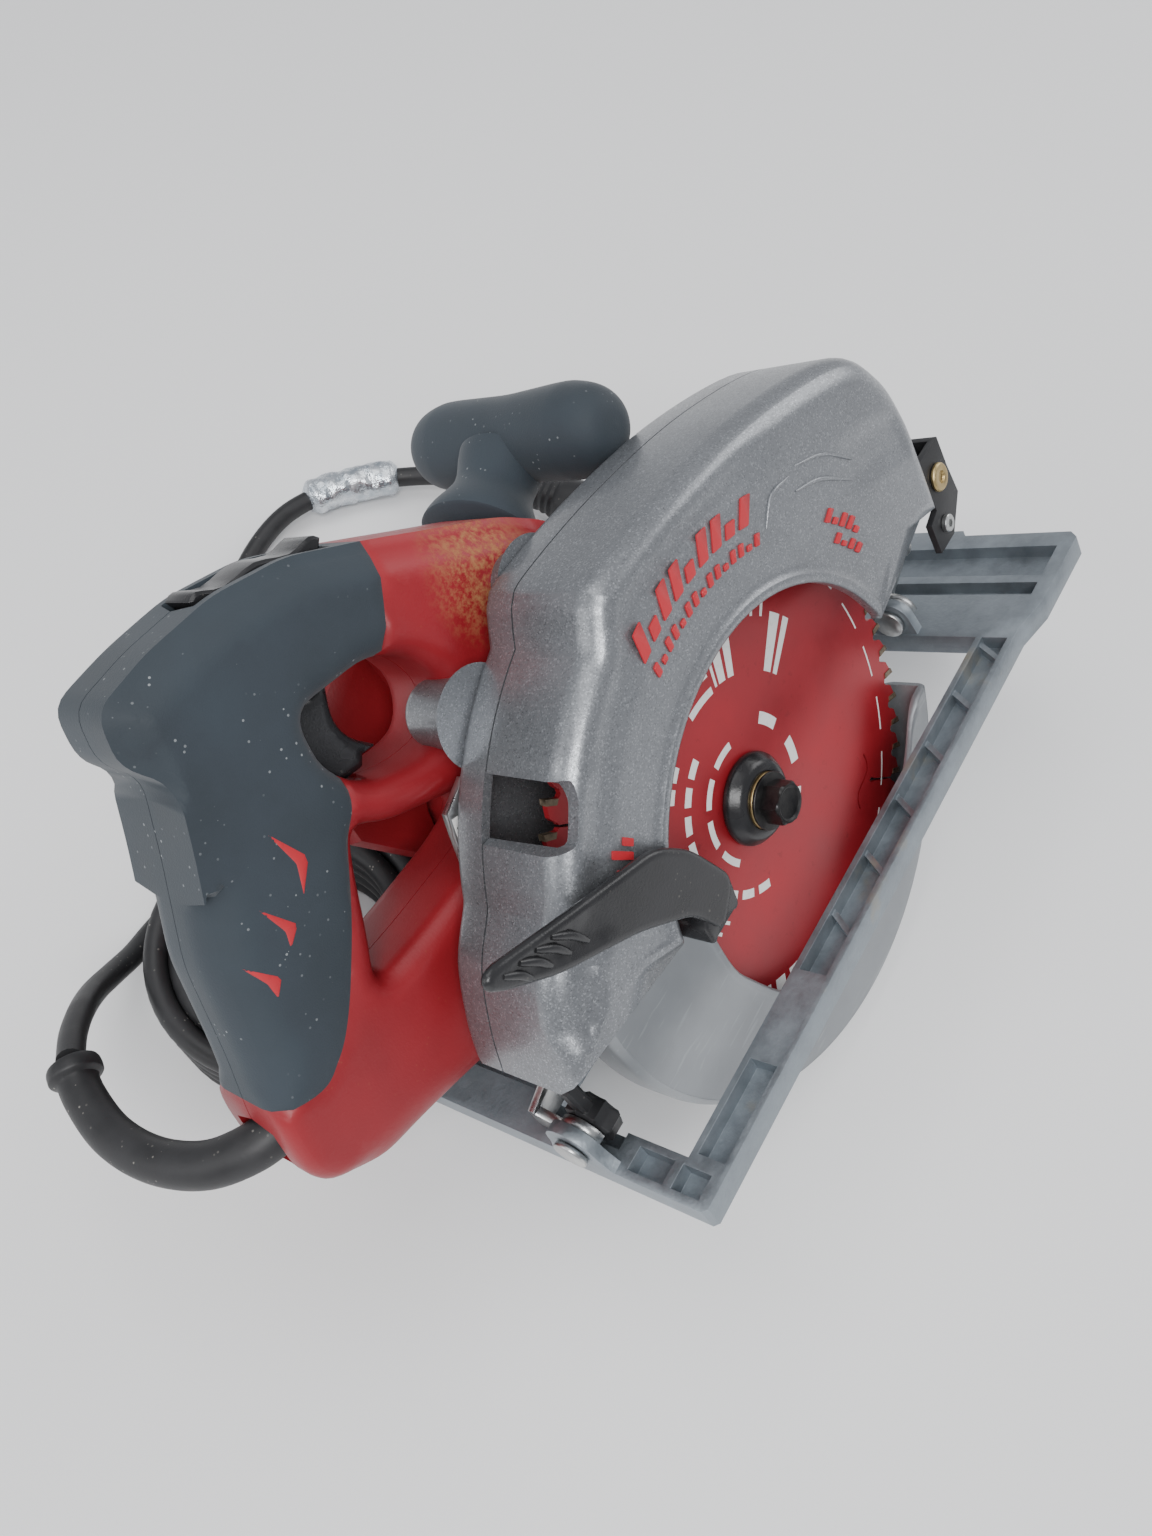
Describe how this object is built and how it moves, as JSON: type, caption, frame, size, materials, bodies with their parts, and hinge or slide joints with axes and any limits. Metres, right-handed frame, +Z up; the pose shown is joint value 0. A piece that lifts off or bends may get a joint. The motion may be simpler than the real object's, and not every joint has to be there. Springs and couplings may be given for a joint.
{
  "type": "circular saw",
  "caption": "Corded hand-held circular saw with a fixed and a swinging blade guard, ribbed shoe, D-handle and T-shaped front grip, resting tilted with its cord coiled.",
  "frame": {"origin": "centre of the base of the saw's box (the saw without its cord), on the floor it rests on", "axes": "+X forwards along the cut, +Y towards the motor side, +Z up from the floor; the saw rests tilted on its lower guard's rim and its shoe's left edge"},
  "size_m": [0.3568, 0.3224, 0.1977],
  "materials": {
    "silver_paint": "silver sparkle paint, satin",
    "guard_paint": "smooth grey paint",
    "cast_magnesium": "bare cast light alloy, satin",
    "red_plastic": "moulded, fine grain",
    "grip_rubber": "matte overmould",
    "black_plastic": "moulded, fine grain",
    "cord_rubber": "matte sheath",
    "bright_steel": "zinc plated",
    "black_steel": "blackened steel",
    "brass": "dull",
    "copper": "varnished windings",
    "blade_coating": "red low friction coating",
    "carbon": "pressed carbon",
    "silver_tape": "metallised adhesive tape"
  },
  "bodies": {
    "saw": {"guard_cover": "silver_paint", "guard_housing": "silver_paint", "gear_case": "silver_paint", "guard_screw_1": "black_steel", "guard_screw_2": "black_steel", "guard_screw_3": "black_steel", "spindle_bearing": "bright_steel", "guard_return_spring": "bright_steel", "shaft_bearing_front": "bright_steel", "shaft_bearing_rear": "bright_steel", "field_core": "bright_steel", "carbon_brush_front": "carbon", "carbon_brush_rear": "carbon", "brush_cap_front": "black_plastic", "brush_cap_rear": "black_plastic", "motor_housing": "red_plastic", "motor_end_cap": "black_plastic", "handle_shell_right": "red_plastic", "handle_shell_left": "red_plastic", "grip_rubber_right": "grip_rubber", "grip_rubber_left": "grip_rubber", "handle_base": "red_plastic", "front_handle": "grip_rubber", "trigger_switch_box": "black_plastic", "laser_bracket": "black_plastic", "laser_bracket_screw": "bright_steel", "laser_module": "black_steel", "depth_pivot_pin": "bright_steel", "depth_lock_bolt": "bright_steel", "strain_relief_boot": "cord_rubber", "cord_lead": "cord_rubber", "cord_coil": "cord_rubber", "cord_tail": "cord_rubber", "cord_tape_wrap": "silver_tape", "plug": "cord_rubber"},
    "blade": {"saw_blade": "blade_coating", "outer_flange": "black_plastic", "brass_washer": "brass", "inner_flange": "bright_steel", "spindle": "bright_steel", "arbor_bolt": "black_steel", "driven_gear": "black_steel"},
    "armature": {"pinion_gear": "bright_steel", "armature_shaft": "bright_steel", "cooling_fan": "black_plastic", "armature_core": "copper", "commutator": "copper"},
    "lower_guard": {"lower_guard": "guard_paint", "guard_lever": "black_plastic"},
    "depth_frame": {"depth_bracket": "bright_steel", "front_bracket": "bright_steel", "bevel_pin_rear": "bright_steel", "bevel_pin_front": "bright_steel"},
    "shoe": {"shoe_plate": "cast_magnesium"},
    "bevel_knob": {"bevel_lock_knob": "black_plastic"},
    "depth_lever": {"depth_lock_lever": "black_plastic"},
    "trigger": {"trigger": "black_plastic"},
    "laser_switch": {"laser_switch": "black_plastic"},
    "lock_button": {"spindle_lock_button": "red_plastic"},
    "aim_screw": {"laser_aim_screw": "brass"}
  },
  "joints": [
    {"name": "blade_spin", "type": "hinge", "parent": "saw", "child": "blade", "pos_m": [0.01558, -0.04718, 0.08154], "axis": [0, 0.8305, -0.557], "continuous": true},
    {"name": "armature_spin", "type": "hinge", "parent": "saw", "child": "armature", "pos_m": [0.00341, -0.0341, 0.10104], "axis": [0, 0.8305, -0.557], "continuous": true},
    {"name": "lower_guard_swing", "type": "hinge", "parent": "saw", "child": "lower_guard", "pos_m": [0.01558, -0.04718, 0.08154], "axis": [0, 0.8305, -0.557], "range_deg": [0, 120], "stiffness_Nm_per_rad": 0.08, "springref_deg": -68.75},
    {"name": "cut_depth", "type": "hinge", "parent": "saw", "child": "depth_frame", "pos_m": [0.14558, -0.05052, 0.07656], "axis": [0, -0.8305, 0.557], "range_deg": [0, 17]},
    {"name": "bevel_tilt", "type": "hinge", "parent": "depth_frame", "child": "shoe", "pos_m": [0.01558, -0.05499, 0.06306], "axis": [-1, 0, 0], "range_deg": [0, 45]},
    {"name": "bevel_knob_turn", "type": "hinge", "parent": "depth_frame", "child": "bevel_knob", "pos_m": [0.01558, -0.05499, 0.06306], "axis": [-1, 0, 0], "range_deg": [0, 60]},
    {"name": "depth_lever_turn", "type": "hinge", "parent": "saw", "child": "depth_lever", "pos_m": [-0.06821, -0.04532, 0.08431], "axis": [0, 0.8305, -0.557], "range_deg": [0, 25]},
    {"name": "trigger_pull", "type": "hinge", "parent": "saw", "child": "trigger", "pos_m": [-0.06442, 0.05815, 0.1578], "axis": [0, 0.8305, -0.557], "range_deg": [0, 8], "stiffness_Nm_per_rad": 0.3, "springref_deg": -17.19},
    {"name": "laser_switch_rock", "type": "hinge", "parent": "saw", "child": "laser_switch", "pos_m": [-0.05042, 0.07346, 0.18064], "axis": [0, 0.8305, -0.557], "range_deg": [-3, 3]},
    {"name": "spindle_lock_press", "type": "slide", "parent": "saw", "child": "lock_button", "axis": [-1, 0, 0], "range_m": [0, 0.004], "stiffness_N_per_m": 300, "springref_m": -0.004},
    {"name": "laser_aim_turn", "type": "hinge", "parent": "saw", "child": "aim_screw", "pos_m": [0.14458, -0.03325, 0.1023], "axis": [0, 0.8305, -0.557], "range_deg": [-45, 45]}
  ],
  "couplings": [
    {"joint": "armature_spin", "follows": "blade_spin", "ratio": -4.1111}
  ]
}
